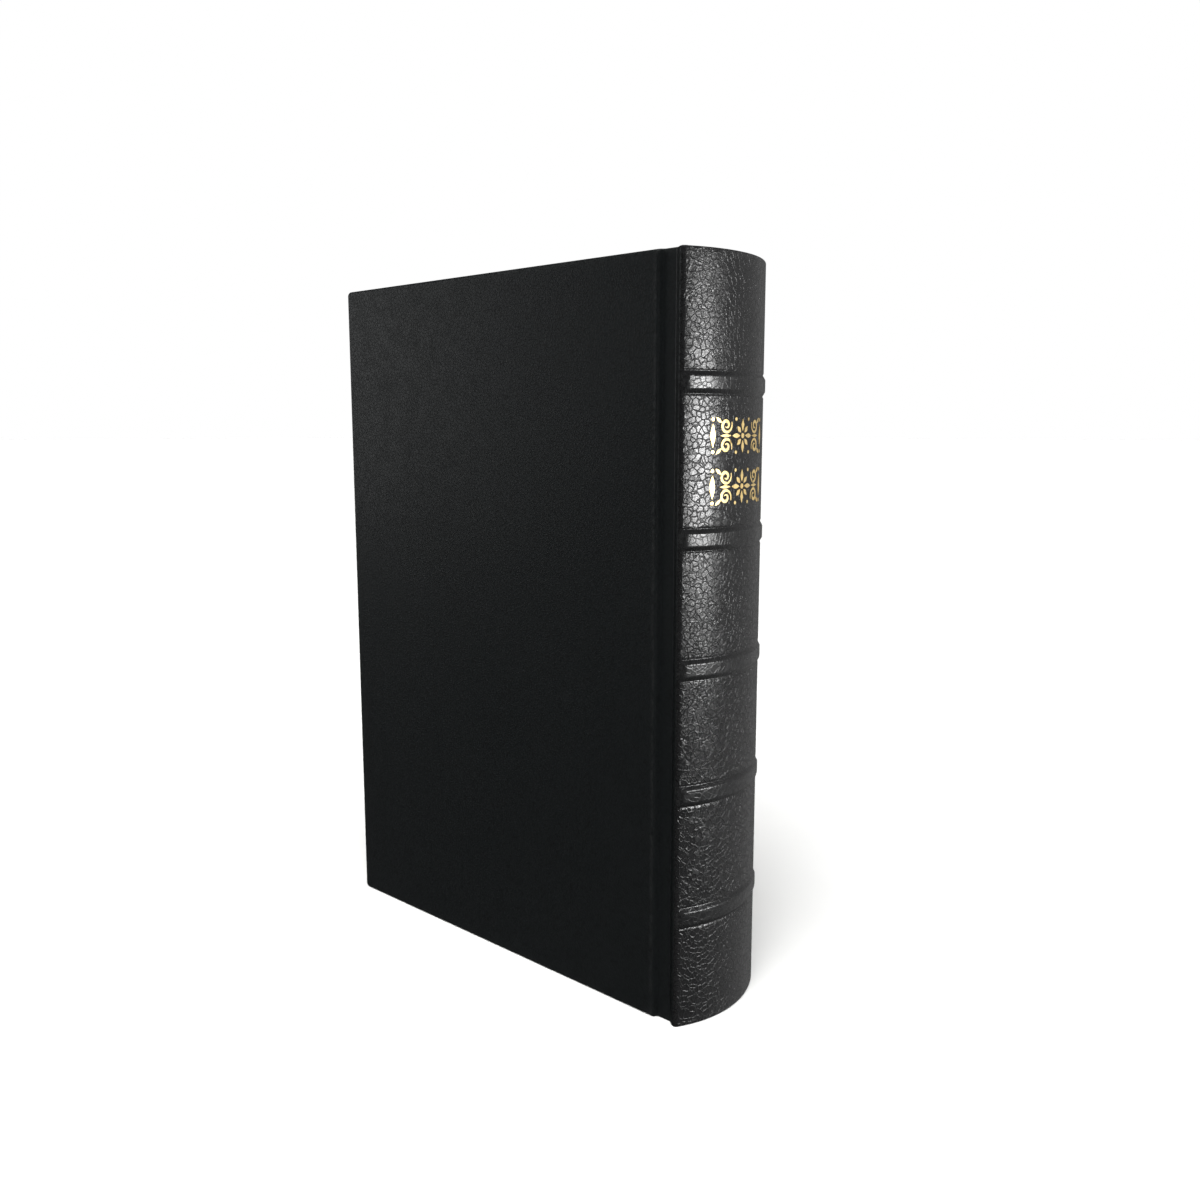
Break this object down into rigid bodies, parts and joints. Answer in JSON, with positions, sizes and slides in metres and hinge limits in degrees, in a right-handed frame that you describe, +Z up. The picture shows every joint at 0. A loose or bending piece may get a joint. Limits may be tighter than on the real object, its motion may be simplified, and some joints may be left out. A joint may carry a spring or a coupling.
{
  "type": "bible",
  "caption": "Closed hardcover book with hinged leatherette covers, a rounded spine with low raised bands, and leaves that turn with each cover.",
  "frame": {"origin": "bottom centre of the closed book, which stands on its tail", "axes": "+Z up the spine from tail to head, +X from the fore-edge to the spine, -Y out of the front cover (bound right to left)"},
  "size_m": [0.1474, 0.039, 0.212],
  "materials": {
    "leatherette": "satin",
    "greyboard": "matte",
    "endpaper": "matte",
    "pages": "matte",
    "lining_paper": "matte",
    "mull": "matte",
    "thread": "matte",
    "headband_silk": "satin",
    "gold_foil": "gloss"
  },
  "bodies": {
    "book_block": {"front_section_folds": "pages", "back_section_folds": "pages", "middle_sections": "pages", "sewing_threads": "thread", "spine_mull": "mull", "spine_lining": "lining_paper", "headband": "headband_silk", "tailband": "headband_silk", "spine_leather": "leatherette", "spine_inlay": "greyboard", "spine_ornament": "gold_foil", "raised_band_1": "greyboard", "raised_band_2": "greyboard", "raised_band_3": "greyboard", "raised_band_4": "greyboard", "raised_band_5": "greyboard"},
    "front_cover": {"front_cover_leather": "leatherette", "front_board": "greyboard", "front_pastedown": "endpaper", "front_mull_flap": "mull"},
    "front_flyleaf": {"front_flyleaf": "endpaper"},
    "front_leaves_1": {"front_leaves_1": "pages"},
    "front_leaves_2": {"front_leaves_2": "pages"},
    "front_leaves_3": {"front_leaves_3": "pages"},
    "back_cover": {"back_cover_leather": "leatherette", "back_board": "greyboard", "back_pastedown": "endpaper", "back_mull_flap": "mull"},
    "back_flyleaf": {"back_flyleaf": "endpaper"},
    "back_leaves_1": {"back_leaves_1": "pages"},
    "back_leaves_2": {"back_leaves_2": "pages"},
    "back_leaves_3": {"back_leaves_3": "pages"}
  },
  "joints": [
    {"name": "front_cover_hinge", "type": "hinge", "parent": "book_block", "child": "front_cover", "pos_m": [0.06725, -0.0195, 0.106], "axis": [0, 0, 1], "range_deg": [0, 178]},
    {"name": "front_flyleaf_turn", "type": "hinge", "parent": "book_block", "child": "front_flyleaf", "pos_m": [0.06725, -0.0195, 0.106], "axis": [0, 0, 1], "range_deg": [0, 158.3]},
    {"name": "front_leaves_1_turn", "type": "hinge", "parent": "book_block", "child": "front_leaves_1", "pos_m": [0.06725, -0.0195, 0.106], "axis": [0, 0, 1], "range_deg": [0, 118.7]},
    {"name": "front_leaves_2_turn", "type": "hinge", "parent": "book_block", "child": "front_leaves_2", "pos_m": [0.06725, -0.0195, 0.106], "axis": [0, 0, 1], "range_deg": [0, 79.2]},
    {"name": "front_leaves_3_turn", "type": "hinge", "parent": "book_block", "child": "front_leaves_3", "pos_m": [0.06725, -0.0195, 0.106], "axis": [0, 0, 1], "range_deg": [0, 39.6]},
    {"name": "back_cover_hinge", "type": "hinge", "parent": "book_block", "child": "back_cover", "pos_m": [0.06725, 0.0195, 0.106], "axis": [0, 0, -1], "range_deg": [0, 178]},
    {"name": "back_flyleaf_turn", "type": "hinge", "parent": "book_block", "child": "back_flyleaf", "pos_m": [0.06725, 0.0195, 0.106], "axis": [0, 0, -1], "range_deg": [0, 158.3]},
    {"name": "back_leaves_1_turn", "type": "hinge", "parent": "book_block", "child": "back_leaves_1", "pos_m": [0.06725, 0.0195, 0.106], "axis": [0, 0, -1], "range_deg": [0, 118.7]},
    {"name": "back_leaves_2_turn", "type": "hinge", "parent": "book_block", "child": "back_leaves_2", "pos_m": [0.06725, 0.0195, 0.106], "axis": [0, 0, -1], "range_deg": [0, 79.2]},
    {"name": "back_leaves_3_turn", "type": "hinge", "parent": "book_block", "child": "back_leaves_3", "pos_m": [0.06725, 0.0195, 0.106], "axis": [0, 0, -1], "range_deg": [0, 39.6]}
  ],
  "couplings": [
    {"joint": "front_flyleaf_turn", "follows": "front_cover_hinge", "ratio": 0.8888},
    {"joint": "front_leaves_1_turn", "follows": "front_cover_hinge", "ratio": 0.6666},
    {"joint": "front_leaves_2_turn", "follows": "front_cover_hinge", "ratio": 0.4444},
    {"joint": "front_leaves_3_turn", "follows": "front_cover_hinge", "ratio": 0.2222},
    {"joint": "back_flyleaf_turn", "follows": "back_cover_hinge", "ratio": 0.8888},
    {"joint": "back_leaves_1_turn", "follows": "back_cover_hinge", "ratio": 0.6666},
    {"joint": "back_leaves_2_turn", "follows": "back_cover_hinge", "ratio": 0.4444},
    {"joint": "back_leaves_3_turn", "follows": "back_cover_hinge", "ratio": 0.2222}
  ]
}
